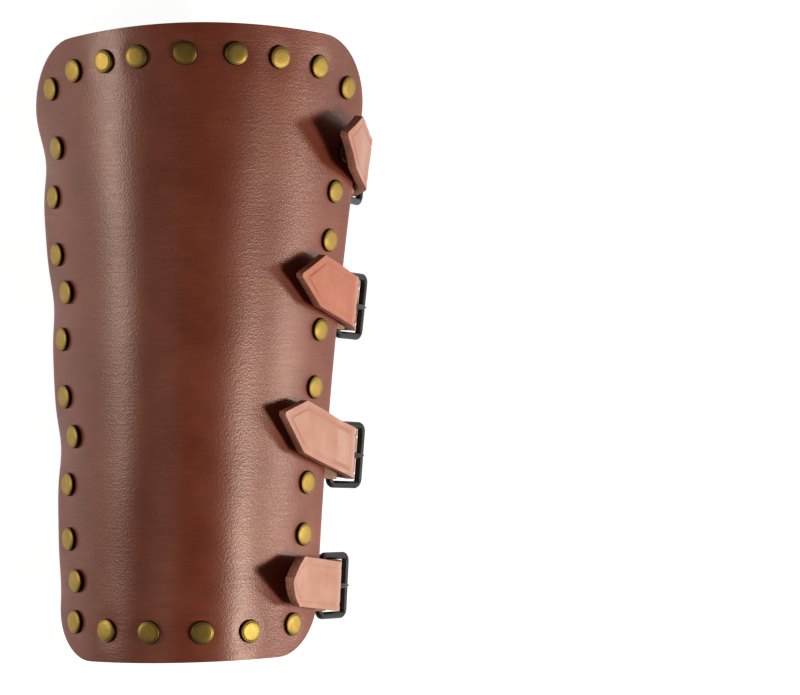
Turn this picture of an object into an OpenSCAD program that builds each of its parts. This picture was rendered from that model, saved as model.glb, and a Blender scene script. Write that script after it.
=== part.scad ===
// Riveted leather bracer, buckled shut and lying on the backs of its four straps.
// X runs across the arm, Y from wrist to elbow, Z up and away from the table.

/* [Leather shell] */
// Length of the shell from its wrist edge to its elbow edge, along the crown
shell_length = 252; // [220:1:290]
// Width across the long edges, carried on to the elbow edge
elbow_width = 138.8; // [128:0.1:150]
// Width across the long edges, carried on to the wrist edge
wrist_width = 103.8; // [94:0.1:112]
// How far the straps draw each long edge in at the middle of the shell
waist_in = 3.6; // [0:0.1:6]
// Height of the crown over the long edges at the elbow
elbow_rise = 50; // [44:0.5:58]
// Height of the crown over the long edges at the wrist
wrist_rise = 35; // [30:0.5:42]
// How much rounder than a parabola the section is toward its flanks
flank_fullness = 0.2; // [0:0.05:0.4]
// Height of the long edges over the table
edge_height = 38; // [36.5:0.5:44]
// Sideways shift of the elbow end against the wrist end
lean = 5.5; // [0:0.5:8]
// Thickness of the shell leather
shell_t = 3.2; // [2.6:0.1:4]
// Corner radius at the elbow end
elbow_corner_r = 30; // [14:0.5:34]
// Corner radius at the wrist end
wrist_corner_r = 23; // [12:0.5:28]
// How far the elbow edge falls back from the crown to its ends
elbow_bow = 6; // [0:0.5:10]
// How far the right edge is cut toward the elbow against the crown, and the left one away
end_tilt = 1.2; // [0:0.1:3]

/* [Straps] */
// Strap width
strap_w = 20; // [16:0.5:22]
// Strap thickness
strap_t = 3.4; // [2.6:0.1:3.8]
// Distance from one strap to the next, as a share of the shell's length
strap_spacing = 0.2286; // [0.21:0.0002:0.24]
// Middle of the row of straps, as a share of the shell's length from the wrist
strap_row_middle = 0.4643; // [0.44:0.0002:0.49]
// How far the strap rivets stand in from the left edge
strap_rivet_in = 14; // [12:0.5:16]
// How far each strap reaches on past its rivet, under the shell
strap_tail = 9; // [7:0.5:12]
// Diameter of the adjustment holes
hole_d = 4; // [3:0.1:5]
// Spacing of the adjustment holes
hole_pitch = 12.7; // [10:0.1:16]

/* [Buckles] */
// Thickness of the round bar of the buckle frames
bar_d = 3; // [2.6:0.1:3.4]
// Distance from heel bar to end bar, bar centre to bar centre
buckle_reach = 18; // [17:0.5:21]
// Side play of the strap inside the frame, each side
strap_play = 0.7; // [0.5:0.1:1.1]
// How far the heel bar lies past the right edge of the shell
heel_out = 8.9; // [8.4:0.1:11]
// Thickness of the buckle tongue
tongue_d = 2.2; // [1.8:0.1:2.6]
// Thickness of one layer of the folded buckle loop
loop_t = 1.6; // [1.2:0.1:2]
// How far the buckle loop reaches in under the shell
loop_tail = 17; // [14.5:0.5:19]
// How far the buckle loop rivets stand in from the right edge
loop_rivet_in = 8; // [7.5:0.5:9]
// Outward swing of a buckle frame while it is fastened
frame_swing = 6; // [2:1:8]
// Lift of a tongue off its end bar while it is fastened
tongue_swing = 6; // [2:1:8]

/* [Rivets] */
// Diameter of the domed caps
cap_d = 9.5; // [8:0.1:10.5]
// Height of the domed caps
cap_h = 1.5; // [1.2:0.1:1.9]
// Diameter of the posts
post_d = 3; // [2.4:0.1:3.4]
// Diameter of the flat heads inside the shell
head_d = 8; // [6.5:0.1:8.6]
// Distance of the elbow and wrist rows from the end edges
row_in = 12; // [10:0.5:14]
// Distance of the left row from the long edge
left_in = 9; // [8:0.5:11]
// Distance of the right row from the long edge
right_in = 12; // [9:0.5:14]

/* [Hidden] */

$fn = 32;
STRAPS = [0, 1, 2, 3];
// Each strap slants this far toward the wrist on its way round the back
strap_slant = [6.4, 3.6, 6.8, 3.0];
// Length of each free strap end, from its hinge line to its point
tip_length = [31.7, 37, 37, 35.6];
// Turn of each free strap end toward the elbow
tip_yaw = [17.5, 13.2, 15.8, 5.7];
// How far each point lies off the middle, toward the elbow
tip_skew = [-2.2, -2, 0.8, 0];
// Angle at which each free strap end stands over the flank
tip_lift = [24, 8, 3.5, 5];
// Straight part of each free strap end
tip_straight = [14, 12, 10, 12];
// Further curl of each free strap end over the rest of its length, up for plus
tip_curl = [-14.5, -11, -5, 28];
// Turn of each buckle down from the line of the flank
hang = [18, 5, -5, 4];
// Height of each strap over the edge of the shell, and how far out it starts to dive
strap_ride = [1.5, 1.5, 2.6, 2.3];
crest_at = [2.6, 2.8, 7.3, 5.4];
// Inner radius of the bend over the heel bar
crest_inner_r = 5;
crest_r = crest_inner_r + strap_t / 2;
// Length of the point that the free ends are cut to
tip_point = 14.5;
// How far the straps draw the left edge in, and over what length
edge_pull = [2.4, 1.5, 1.8, 0.8];
pull_span = 12;
pull_from = 0.7;
pull_below_rivet = 4;
// Room between pieces that lie on each other, and round a pin in its bore
seat = 0.15;
pin_play = 0.05;
clear = 0.3;

// Places of the rivets along their rows, as shares of the row, punched by eye
elbow_shares = [-0.96, -0.79, -0.58, -0.36, -0.05, 0.27, 0.54, 0.79, 0.98];
wrist_shares = [-0.97, -0.67, -0.29, 0.17, 0.57, 0.93];
left_shares = [[0.33, 0.73], [0.32, 0.72], [0.33, 0.71]];
right_shares = [[0.29, 0.63], [0.25, 0.65], [0.31, 0.67]];
// A row turns down at its ends from this share on, by this much of the corner radius
row_turn = 0.6;
row_drop = 0.35;

// Rows and columns of the shell's surface
mid_rows = 22;
columns = 36;
corner_step = 15;
// Corner radius across the steep flank, as seen from above
corner_plan = 0.62;
// Small steps for slopes
dq = 0.01;
dv = 0.005;

half_length = shell_length / 2;
strap_pitch = strap_spacing * shell_length;
strap_row_y = (strap_row_middle - 0.5) * shell_length;

function lerp(a, b, t) = a + (b - a) * t;
function unit(p) = p / norm(p);

// The surface of the shell: q runs from -1 at the left edge to 1 at the right, v from wrist to elbow
function half_width(v) = lerp(wrist_width, elbow_width, v) / 2 - waist_in * 4 * v * (1 - v);
function rise(v) = lerp(wrist_rise, elbow_rise, v);
function fall(q) = (q * q + flank_fullness * pow(q, 4) / 2) / (1 + flank_fullness / 2);
function y_on(q, v) = end_tilt * q + lerp(-half_length, half_length - elbow_bow * q * q, v);
function v_on(q, y) = (y - end_tilt * q + half_length) / (shell_length - elbow_bow * q * q);
function left_y(i) = strap_row_y + strap_pitch * (1.5 - i);
function right_y(i) = left_y(i) - strap_slant[i];
function gathers(y) = [for (i = STRAPS)
  edge_pull[i] * exp(-pow((y - left_y(i) + pull_below_rivet) / pull_span, 2))];
function total(list) = list * [for (each_one = list) 1];
function pull(q, y) = q > -pull_from ? 0
  : pow((-q - pull_from) / (1 - pull_from), 2) * total(gathers(y));
function skin(q, v) = [
  lean * (v - 0.5) + q * half_width(v) + pull(q, y_on(q, v)) - centre_x,
  y_on(q, v),
  edge_height + rise(v) * (1 - fall(q))
];
function across(q, v) = unit(skin(q + dq, v) - skin(q - dq, v));
function along(q, v) = unit(skin(q, v + dv) - skin(q, v - dv));
function outward(q, v) = unit(cross(across(q, v), along(q, v)));
function inner_skin(q, v, depth) = skin(q, v) - depth * outward(q, v);
// The q that lies a distance in from a long edge, measured on the leather
function q_in(side, v, distance) =
  side * (1 - 0.1 * distance / norm(skin(side, v) - skin(side * 0.9, v)));

// Half the box in X, to keep the origin under its middle
function edge_x(side, v) = lean * (v - 0.5) + side * half_width(v);
far_left = min([for (v = [0.86 : 0.01 : 0.92]) edge_x(-1, v)]);
first_v = v_on(1, right_y(0));
first_slope = hang[0]
  + atan(rise(first_v) / half_width(first_v) * 2 * (1 + flank_fullness) / (1 + flank_fullness / 2));
far_right = edge_x(1, first_v) + crest_at[0] * cos(first_slope)
  + (ride_n(0) - crest_r) * sin(first_slope) + crest_r + strap_t / 2;
centre_x = (far_left + max(far_right, edge_x(1, 0.9))) / 2;

// A frame set on the shell: X across, Y toward the elbow, Z outward
function columns_to_matrix(x, y, z, p) = [
  [x[0], y[0], z[0], p[0]],
  [x[1], y[1], z[1], p[1]],
  [x[2], y[2], z[2], p[2]],
  [0, 0, 0, 1]
];
module on_skin(q, v) {
  z = outward(q, v);
  x = across(q, v);
  multmatrix(columns_to_matrix(x, cross(z, x), z, skin(q, v))) children();
}

// The frame of one buckle, at the right edge: X out along the flank, Y toward the elbow, Z outward
function right_v(i) = v_on(1, right_y(i));
function right_edge(i) = skin(1, right_v(i));
function right_w(i) = along(1, right_v(i));
function flank_chord(i) =
  right_edge(i) - skin(q_in(1, right_v(i), loop_tail), v_on(1, right_y(i)));
function flank_n(i) = unit(cross(flank_chord(i), right_w(i)));
function flank_s(i) = cross(right_w(i), flank_n(i));
function right_n(i) = flank_n(i) * cos(hang[i]) + flank_s(i) * sin(hang[i]);
function right_s(i) = flank_s(i) * cos(hang[i]) - flank_n(i) * sin(hang[i]);
module on_flank(i)
  multmatrix(columns_to_matrix(flank_s(i), right_w(i), flank_n(i), right_edge(i))) children();
module on_buckle(i)
  multmatrix(columns_to_matrix(right_s(i), right_w(i), right_n(i), right_edge(i))) children();

// Sizes of the closure in that frame
heel_n = -shell_t - loop_t - seat - seat;
end_s = heel_out + buckle_reach;
hinge_s = -1;
frame_inner_w = strap_w + 2 * strap_play;
tongue_ring_r = bar_d / 2 + pin_play + tongue_d / 2;
tongue_pitch = asin((bar_d / 2 + tongue_d / 2 + seat - tongue_ring_r) / buckle_reach);
function ride_n(i) = strap_ride[i] + strap_t / 2;
// Turn of the strap from the line of the frame to dive under the end bar
function dive_s(i) = end_s - crest_at[i];
function dive_n(i) = heel_n - ride_n(i) + crest_r;
dive_room = crest_r + strap_t / 2 + bar_d / 2 + clear;
function dive(i) = asin(dive_room / norm([dive_s(i), dive_n(i)])) - atan2(dive_n(i), dive_s(i));
function dive_length(i) = dive_s(i) * cos(dive(i)) - dive_n(i) * sin(dive(i));

// Paths in a plane, as points with the direction of travel: [x, z, heading]
function arc_steps(angle) = max(2, ceil(abs(angle) / 12));
function arc_from(start, radius, angle) = [
  for (k = [1 : arc_steps(angle)])
    let (h = start[2] + angle * k / arc_steps(angle), side = angle > 0 ? 1 : -1)
      [
        start[0] + side * radius * (sin(h) - sin(start[2])),
        start[1] - side * radius * (cos(h) - cos(start[2])),
        h
      ]
];
function line_from(start, length) =
  [start[0] + length * cos(start[2]), start[1] + length * sin(start[2]), start[2]];
function last(list) = list[len(list) - 1];

// The strap: [middle of the section, direction of its width, of its outer face, share of its width]
function station(p, w, tangent, wide) = [p, w, unit(cross(tangent, w)), wide];
tail_steps = 5;
left_bend_r = 12;
left_heading = -60;
floor_bend_r = 16;
function left_v(i) = v_on(-1, left_y(i));
under_shell = shell_t + seat + strap_t / 2;
function tail_stations(i) = [
  for (k = [0 : tail_steps])
    let (
      v = left_v(i),
      q = q_in(-1, v, (strap_rivet_in + strap_tail) * (1 - k / tail_steps))
    )
      station(inner_skin(q, v, under_shell), along(q, v), -across(q, v), 1)
];
// From the left edge down to the table, in the XZ plane
function left_path(i) =
  let (
    a = inner_skin(-1, left_v(i), under_shell),
    t = -across(-1, left_v(i)),
    start = [a[0], a[2], atan2(t[2], t[0])],
    bend = arc_from(start, left_bend_r, left_heading - start[2]),
    drop = last(bend)[1] - strap_t / 2 - floor_bend_r * (1 - cos(left_heading)),
    slope = line_from(last(bend), drop / -sin(left_heading))
  )
    concat(bend, [slope], arc_from(slope, floor_bend_r, -left_heading));
// From the hinge line of the free end to the end bar, in the buckle's own plane
function crest_path(i) = arc_from([crest_at[i], ride_n(i), 0], crest_r, -dive(i));
function through_end(i) = line_from(last(crest_path(i)), dive_length(i));
// Above the frame a strap turns toward the elbow: how far it is through, and its way off the middle
function turn_share(i, s) =
  let (s0 = last(crest_path(i))[0], s1 = through_end(i)[0])
    max(0, min(1, (s1 - s) / (s1 - s0)));
function sway(i, s) =
  let (s0 = last(crest_path(i))[0], s1 = through_end(i)[0])
    tan(tip_yaw[i])
      * ((s1 - s0) * pow(turn_share(i, s), 3) / 3 + max(0, s0 - s));
function buckle_point(i, s, w, n) =
  right_edge(i) + s * right_s(i) + w * right_w(i) + n * right_n(i);
// From the end bar down to the table, in the XZ plane
function strap_end(i) =
  buckle_point(i, through_end(i)[0], 0, through_end(i)[1]);
function right_path(i) =
  let (
    end = through_end(i),
    a = strap_end(i),
    down = right_s(i) * cos(end[2]) + right_n(i) * sin(end[2]),
    heading = atan2(down[2], down[0]),
    radius = (a[2] - strap_t / 2) / (1 + cos(heading))
  )
    arc_from([a[0], a[2], heading], radius, -180 - heading);
function slant_y(i, x) =
  lerp(left_y(i), strap_end(i)[1],
    (x - skin(-1, left_v(i))[0]) / (strap_end(i)[0] - skin(-1, left_v(i))[0]));
// Toward the table the width of a strap turns from its direction w to the Y axis
function floor_stations(i, path, w, way) =
  let (top = max([for (p = path) p[1]]))
    [
      for (p = path)
        station(
          [p[0], slant_y(i, p[0]), p[1]],
          unit([w[0] * p[1] / top, w[1], 0]),
          way * [cos(p[2]), 0, sin(p[2])],
          1
        )
    ];
function buckle_station(i, p) =
  station(
    buckle_point(i, p[0], sway(i, p[0]), p[1]),
    right_w(i),
    -(right_s(i) * cos(p[2]) + right_n(i) * sin(p[2])),
    1 / cos(tip_yaw[i] * pow(turn_share(i, p[0]), 2))
  );
function middle(a, b) = [(a[0] + b[0]) / 2, (a[1] + b[1]) / 2, a[2]];
function reversed(list) = [for (k = [len(list) - 1 : -1 : 0]) list[k]];
function strap_stations(i) =
  let (
    crest = crest_path(i),
    end = through_end(i),
    start = [crest_at[i], ride_n(i), 0]
  )
    concat(
      tail_stations(i),
      floor_stations(i, left_path(i), along(-1, left_v(i)), 1),
      floor_stations(i, reversed(right_path(i)), right_w(i), -1),
      [for (p = concat([end, middle(last(crest), end)], reversed(crest), [start])) buckle_station(i, p)],
      [buckle_station(i, [hinge_s + strap_t / 2 + clear, ride_n(i), 0])]
    );

// A ribbon of leather through stations
function section(st) =
  let (half_w = st[1] * st[3] * strap_w / 2, half_t = st[2] * strap_t / 2)
    [st[0] - half_w - half_t, st[0] + half_w - half_t, st[0] + half_w + half_t, st[0] - half_w + half_t];
module ribbon(stations) {
  n = len(stations) - 1;
  sides = [
    for (k = [0 : n - 1], c = [0 : 3])
      let (a = 4 * k + c, b = 4 * k + (c + 1) % 4)
        each [[a, b, b + 4], [a, b + 4, a + 4]]
  ];
  ends = [[2, 1, 0], [3, 2, 0], [4 * n, 4 * n + 1, 4 * n + 2], [4 * n, 4 * n + 2, 4 * n + 3]];
  polyhedron([for (st = stations) each section(st)], concat(sides, ends), 4);
}

// The leather shell
function corner_v(r, a) = r / shell_length * (1 - sin(a));
function corner_q(r, v, a) = 1 - r * corner_plan / half_width(v) * (1 - cos(a));
function shell_rows() = concat(
  [
    for (a = [90 : -corner_step : 0])
      let (v = corner_v(wrist_corner_r, a))
        [v, corner_q(wrist_corner_r, v, a)]
  ],
  [
    for (k = [1 : mid_rows - 1])
      [lerp(corner_v(wrist_corner_r, 0), 1 - corner_v(elbow_corner_r, 0), k / mid_rows), 1]
  ],
  [
    for (a = [0 : corner_step : 90])
      let (v = 1 - corner_v(elbow_corner_r, a))
        [v, corner_q(elbow_corner_r, v, a)]
  ]
);
module shell_sheet() {
  rows = shell_rows();
  nr = len(rows);
  nc = columns + 1;
  spots = [for (r = rows, c = [0 : columns]) [r[1] * (2 * c / columns - 1), r[0]]];
  points = concat(
    [for (s = spots) skin(s[0], s[1])],
    [for (s = spots) inner_skin(s[0], s[1], shell_t)]
  );
  below = nr * nc;
  function at(r, c) = r * nc + c;
  faces = concat(
    [
      for (r = [0 : nr - 2], c = [0 : columns - 1])
        let (a = at(r, c), b = at(r, c + 1), d = at(r + 1, c), e = at(r + 1, c + 1))
          each [
            [a, d, e], [a, e, b],
            [below + a, below + e, below + d], [below + a, below + b, below + e]
          ]
    ],
    [
      for (c = [0 : columns - 1], r = [0, nr - 1])
        let (a = at(r, c), b = at(r, c + 1))
          each r == 0
            ? [[a, b, below + b], [a, below + b, below + a]]
            : [[b, a, below + a], [b, below + a, below + b]]
    ],
    [
      for (r = [0 : nr - 2], c = [0, columns])
        let (a = at(r, c), b = at(r + 1, c))
          each c == 0
            ? [[b, a, below + a], [b, below + a, below + b]]
            : [[a, b, below + b], [a, below + b, below + a]]
    ]
  );
  polyhedron(points, faces, 8);
}

// Rivet places, as [q, v] on the shell
function row_q(side, v) = abs(q_in(side, v, (left_in + right_in) / 2));
function turned(share, r) =
  abs(share) < row_turn ? 0
    : r * row_drop * (1 - sqrt(1 - pow((abs(share) - row_turn) / (1 - row_turn), 2)));
function elbow_spot(share) =
  let (
    q = share * row_q(sign(share), 0.9),
    y = y_on(q, 1) - row_in - turned(share, elbow_corner_r)
  )
    [q, v_on(q, y)];
function wrist_spot(share) =
  let (
    q = share * row_q(sign(share), 0.1),
    y = -half_length + row_in + turned(share, wrist_corner_r) / 2
  )
    [q, v_on(q, y)];
function side_spot(side, y, distance) = let (v = v_on(side, y)) [q_in(side, v, distance), v];
function side_ys(shares) = [for (i = [0 : 2], s = shares[i]) left_y(i) - s * strap_pitch];
elbow_spots = [for (s = elbow_shares) elbow_spot(s)];
wrist_spots = [for (s = wrist_shares) wrist_spot(s)];
left_spots = [for (y = side_ys(left_shares)) side_spot(-1, y, left_in)];
right_spots = [for (y = side_ys(right_shares)) side_spot(1, y, right_in)];
strap_spots = [for (i = STRAPS) [q_in(-1, left_v(i), strap_rivet_in), left_v(i)]];
loop_spots = [for (i = STRAPS) side_spot(1, right_y(i) + strap_slant[i], loop_rivet_in)];
plain_spots = concat(elbow_spots, wrist_spots, left_spots, right_spots);

hole_r = post_d / 2 + 0.1;
// A flat head on the hollow side of the curved leather stands off by this much
head_seat = 0.35;
// The leather gathers round the strap rivets, so their caps stand off by this much
gathered_off = 0.3;
module rivet_bore(depth)
  translate([0, 0, -depth]) cylinder(h = 2 * depth, r = hole_r);
module rivet_cap()
  rotate_extrude()
    polygon([
      [0, cap_h], [cap_d * 0.18, cap_h * 0.97], [cap_d * 0.32, cap_h * 0.84],
      [cap_d * 0.43, cap_h * 0.6], [cap_d * 0.48, cap_h * 0.38], [cap_d * 0.5, cap_h * 0.2],
      [cap_d * 0.49, 0.02], [hole_r, 0.02], [hole_r, cap_h * 0.6], [0, cap_h * 0.6]
    ]);
module rivet_post(grip)
  rotate_extrude()
    polygon([
      [0, cap_h * 0.5], [post_d / 2, cap_h * 0.5], [post_d / 2, -grip],
      [head_d * 0.46, -grip], [head_d * 0.5, -grip - 0.35],
      [head_d * 0.42, -grip - 0.8], [0, -grip - 0.9]
    ]);
module caps_at(spots, off = 0)
  color("goldenrod") for (s = spots) on_skin(s[0], s[1]) translate([0, 0, off]) rivet_cap();
module posts_at(spots, grip)
  color("darkgoldenrod") for (s = spots) on_skin(s[0], s[1]) rivet_post(grip);

module shell()
  color("saddlebrown")
    difference() {
      shell_sheet();
      for (s = concat(plain_spots, strap_spots, loop_spots))
        on_skin(s[0], s[1]) rivet_bore(shell_t + 2);
    }

// The strap bands, from under the left edge round the back and up through the buckle
module tongue_sweep(i, play)
  on_buckle(i)
    for (k = [0 : 3])
      translate([heel_out, 0, heel_n])
        rotate([0, -tongue_pitch - (frame_swing + tongue_swing) * k / 3, 0])
          translate([0, 0, tongue_ring_r])
            rotate([0, 90, 0]) cylinder(h = buckle_reach + 3, r = tongue_d / 2 + play);
module strap(i) {
  path = right_path(i);
  flat_x = last(path)[0];
  color("peru")
    difference() {
      ribbon(strap_stations(i));
      on_skin(strap_spots[i][0], strap_spots[i][1]) rivet_bore(shell_t + strap_t + 3);
      tongue_sweep(i, clear);
      for (k = [0 : 2])
        translate([flat_x - 3 - k * hole_pitch, slant_y(i, flat_x - 3 - k * hole_pitch), -1])
          cylinder(h = strap_t + 2, d = hole_d);
    }
}

// The free strap ends, cut to a point. The X of on_tip runs along them, over the flank
module on_tip(i)
  on_buckle(i) translate([hinge_s, sway(i, hinge_s), ride_n(i)]) mirror([1, 0, 0]) children();
function tip_path(i) =
  let (
    lift = [0, 0, tip_lift[i] - hang[i]],
    straight = line_from(lift, tip_straight[i]),
    rest = tip_length[i] - tip_straight[i],
    radius = rest / (abs(tip_curl[i]) * PI / 180)
  )
    concat([lift, straight], arc_from(straight, radius, tip_curl[i]));
function beside(p, side) = [p[0] - side * sin(p[2]), p[1] + side * cos(p[2])];
// The edges of a free end run at its yaw, and its width stays along the hinge line
function slid(i, x, y) = [x, y / cos(tip_yaw[i]) + x * tan(tip_yaw[i])];
module strap_tip(i) {
  path = tip_path(i);
  half_t = strap_t / 2;
  half_w = strap_w / 2;
  reach = last(path)[0];
  shoulder = reach - tip_point * cos(tip_lift[i] - hang[i] + tip_curl[i]);
  color("burlywood")
    on_tip(i)
      intersection() {
        rotate([90, 0, 0])
          linear_extrude(4 * strap_w, center = true) {
            polygon(concat(
              [for (p = path) beside(p, -half_t)],
              [for (p = reversed(path)) beside(p, half_t)]
            ));
            circle(d = strap_t);
          }
        translate([0, 0, -2 * strap_w])
          linear_extrude(4 * strap_w)
            polygon([
              slid(i, -strap_w / 2, -half_w), slid(i, shoulder, -half_w), slid(i, reach, tip_skew[i]),
              slid(i, shoulder, half_w), slid(i, -strap_w / 2, half_w)
            ]);
      }
}

// The folded loops that carry the buckles, riveted inside the right edge
loop_bore_r = bar_d / 2 + pin_play;
loop_outer_r = loop_bore_r + loop_t;
loop_half_t = loop_t + seat / 2;
// A point of the buckle's plane in the plane of the flank, and where a line at depth n bends over
function to_flank(i, s, n) =
  [s * cos(hang[i]) + n * sin(hang[i]), n * cos(hang[i]) - s * sin(hang[i])];
function bend_point(i, n) = [n * tan(hang[i] / 2), n];
module across_flank() rotate([90, 0, 0]) linear_extrude(4 * strap_w, center = true) children();
module buckle_loop(i) {
  half = strap_w / 2;
  bend = bend_point(i, heel_n)[0];
  neck = heel_out - loop_outer_r - 1;
  skew = strap_slant[i] / (neck + loop_rivet_in);
  bend_y = skew * (neck - bend);
  tail_y = skew * (neck + loop_tail);
  clip = half * 0.4;
  color("peru")
    difference() {
      on_flank(i)
        intersection() {
          across_flank()
            polygon(concat(
              [[-loop_tail, heel_n - loop_half_t], bend_point(i, heel_n - loop_half_t)],
              [
                for (a = [-120 : 30 : 120])
                  to_flank(i, heel_out + loop_outer_r * cos(a), heel_n + loop_outer_r * sin(a))
              ],
              [bend_point(i, heel_n + loop_half_t), [-loop_tail, heel_n + loop_half_t]]
            ));
          translate([0, 0, -2 * strap_w])
            linear_extrude(4 * strap_w)
              polygon([
                [-loop_tail, tail_y - half + clip], [-loop_tail + clip, tail_y - half],
                [bend, bend_y - half], [neck, -half], [end_s, -half], [end_s, half],
                [neck, half], [bend, bend_y + half],
                [-loop_tail + clip, tail_y + half], [-loop_tail, tail_y + half - clip]
              ]);
        }
      on_flank(i)
        across_flank()
          polygon([
            [-loop_tail - 1, heel_n - seat / 2], bend_point(i, heel_n - seat / 2),
            to_flank(i, heel_out, heel_n - seat / 2), to_flank(i, heel_out, heel_n + seat / 2),
            bend_point(i, heel_n + seat / 2), [-loop_tail - 1, heel_n + seat / 2]
          ]);
      on_buckle(i) {
        translate([heel_out, 0, heel_n])
          rotate([90, 0, 0]) cylinder(h = 2 * strap_w, r = loop_bore_r, center = true);
        translate([heel_out - loop_outer_r - 1.5, -tongue_d / 2 - clear, heel_n - strap_w])
          cube([2 * loop_outer_r + 4, tongue_d + 2 * clear, 2 * strap_w]);
      }
      on_skin(loop_spots[i][0], loop_spots[i][1]) rivet_bore(shell_t + 3 * loop_t + 3);
    }
}

// The buckle frames, of round bar, pinned by their heel bars
frame_corner_r = 2.4;
module frame_bar(length, direction)
  rotate(direction) cylinder(h = length, d = bar_d, center = true);
module buckle_frame(i) {
  half_w = frame_inner_w / 2 + bar_d / 2;
  half_s = buckle_reach / 2;
  color("dimgray")
    on_buckle(i)
      translate([heel_out + half_s, 0, heel_n]) {
        for (side = [-1, 1]) {
          translate([side * half_s, 0, 0])
            frame_bar(2 * (half_w - frame_corner_r), [90, 0, 0]);
          translate([0, side * half_w, 0])
            frame_bar(2 * (half_s - frame_corner_r), [0, 90, 0]);
        }
        for (a = [0, 90, 180, 270])
          translate([
            (a == 0 || a == 270 ? 1 : -1) * (half_s - frame_corner_r),
            (a < 180 ? 1 : -1) * (half_w - frame_corner_r),
            0
          ])
            rotate([0, 0, a])
              rotate_extrude(angle = 90) translate([frame_corner_r, 0]) circle(d = bar_d);
      }
}

// The buckle tongues, rings on the heel bars with a pin that crosses the strap
tongue_short = 0.9;
module buckle_tongue(i)
  color("dimgray")
    on_buckle(i)
      translate([heel_out, 0, heel_n])
        difference() {
          union() {
            rotate([90, 0, 0])
              cylinder(h = tongue_d, r = bar_d / 2 + pin_play + tongue_d * 0.6, center = true);
            rotate([0, -tongue_pitch, 0])
              translate([0, 0, tongue_ring_r])
                rotate([0, 90, 0]) {
                  cylinder(h = buckle_reach - tongue_short, d = tongue_d);
                  translate([0, 0, buckle_reach - tongue_short]) sphere(d = tongue_d);
                }
          }
          rotate([90, 0, 0])
            cylinder(h = 2 * tongue_d, r = bar_d / 2 + pin_play, center = true);
        }

// From the outside of the shell to the inside of the buckle loop, at its rivet
function loop_grip(i) =
  (skin(loop_spots[i][0], loop_spots[i][1]) - right_edge(i)) * flank_n(i)
    - heel_n + loop_half_t + head_seat;
module loop_posts()
  for (i = STRAPS) posts_at([loop_spots[i]], loop_grip(i));

shell();
strap(0);  // strap_1
strap(1);  // strap_2
strap(2);  // strap_3
strap(3);  // strap_4
strap_tip(0);  // strap_tip_1
strap_tip(1);  // strap_tip_2
strap_tip(2);  // strap_tip_3
strap_tip(3);  // strap_tip_4
buckle_loop(0);  // buckle_loop_1
buckle_loop(1);  // buckle_loop_2
buckle_loop(2);  // buckle_loop_3
buckle_loop(3);  // buckle_loop_4
buckle_frame(0);  // buckle_frame_1
buckle_frame(1);  // buckle_frame_2
buckle_frame(2);  // buckle_frame_3
buckle_frame(3);  // buckle_frame_4
buckle_tongue(0);  // buckle_tongue_1
buckle_tongue(1);  // buckle_tongue_2
buckle_tongue(2);  // buckle_tongue_3
buckle_tongue(3);  // buckle_tongue_4
caps_at(elbow_spots);  // elbow_row_caps
posts_at(elbow_spots, shell_t + head_seat);  // elbow_row_posts
caps_at(wrist_spots);  // wrist_row_caps
posts_at(wrist_spots, shell_t + head_seat);  // wrist_row_posts
caps_at(left_spots);  // left_row_caps
posts_at(left_spots, shell_t + head_seat);  // left_row_posts
caps_at(right_spots);  // right_row_caps
posts_at(right_spots, shell_t + head_seat);  // right_row_posts
caps_at(strap_spots, gathered_off);  // strap_rivet_caps
posts_at(strap_spots, shell_t + strap_t + head_seat + seat);  // strap_rivet_posts
caps_at(loop_spots);  // loop_rivet_caps
loop_posts();  // loop_rivet_posts
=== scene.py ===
# %% [markdown]
# # A buckled leather bracer
# A bracer guards the forearm. This one is a single sheet of thick, waxed leather, bent over the arm,
# with a border of brass rivets. Four tan straps pass round the back of the arm and come up through
# buckles along one long edge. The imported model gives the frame: it is loaded first, and everything
# below is made around it, in metres, with +Y toward the elbow and +Z up out of the crown.

# %% Load the frame
import math
import bmesh
import bpy
import numpy
from mathutils import Matrix, Vector, noise


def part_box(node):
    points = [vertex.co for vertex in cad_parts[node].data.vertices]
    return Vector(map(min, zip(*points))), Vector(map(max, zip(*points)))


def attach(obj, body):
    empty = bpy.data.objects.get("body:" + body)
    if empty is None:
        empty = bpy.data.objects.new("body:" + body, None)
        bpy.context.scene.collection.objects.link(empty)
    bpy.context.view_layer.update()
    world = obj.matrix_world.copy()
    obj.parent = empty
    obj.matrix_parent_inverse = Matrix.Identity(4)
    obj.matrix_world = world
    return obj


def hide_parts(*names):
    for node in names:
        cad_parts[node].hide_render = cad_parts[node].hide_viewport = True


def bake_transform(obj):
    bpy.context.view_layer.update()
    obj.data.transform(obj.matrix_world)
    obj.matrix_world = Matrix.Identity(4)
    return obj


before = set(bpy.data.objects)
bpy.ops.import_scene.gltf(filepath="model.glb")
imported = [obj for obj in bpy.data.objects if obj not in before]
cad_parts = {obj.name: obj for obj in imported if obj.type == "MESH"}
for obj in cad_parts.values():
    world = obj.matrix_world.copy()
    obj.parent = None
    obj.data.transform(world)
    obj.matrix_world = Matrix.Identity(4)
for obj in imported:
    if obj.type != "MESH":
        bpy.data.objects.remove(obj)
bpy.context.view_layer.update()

MM = 0.001

# %% [markdown]
# ## The camera
# The photograph looks straight down on the pair of bracers, and this is the left one. So the camera
# stands over the middle of the pair, to the right of the object, and looks down with no tilt. At
# 1.5 m the perspective is weak, and the lens is chosen so that 2.5 pixels show a millimetre.

# %% Camera
EYE = Vector((80.4, -1.3, 1555)) * MM
CAMERA_LENS, SENSOR_WIDTH = 168.75, 36
FAR_CLIP = 20

camera_data = bpy.data.cameras.new("camera")
camera_data.lens = CAMERA_LENS
camera_data.sensor_width = SENSOR_WIDTH
camera_data.clip_end = FAR_CLIP
camera = bpy.data.objects.new("camera", camera_data)
camera.location = EYE
bpy.context.scene.collection.objects.link(camera)
bpy.context.scene.camera = camera
print("camera at", [round(c, 4) for c in EYE])

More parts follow.
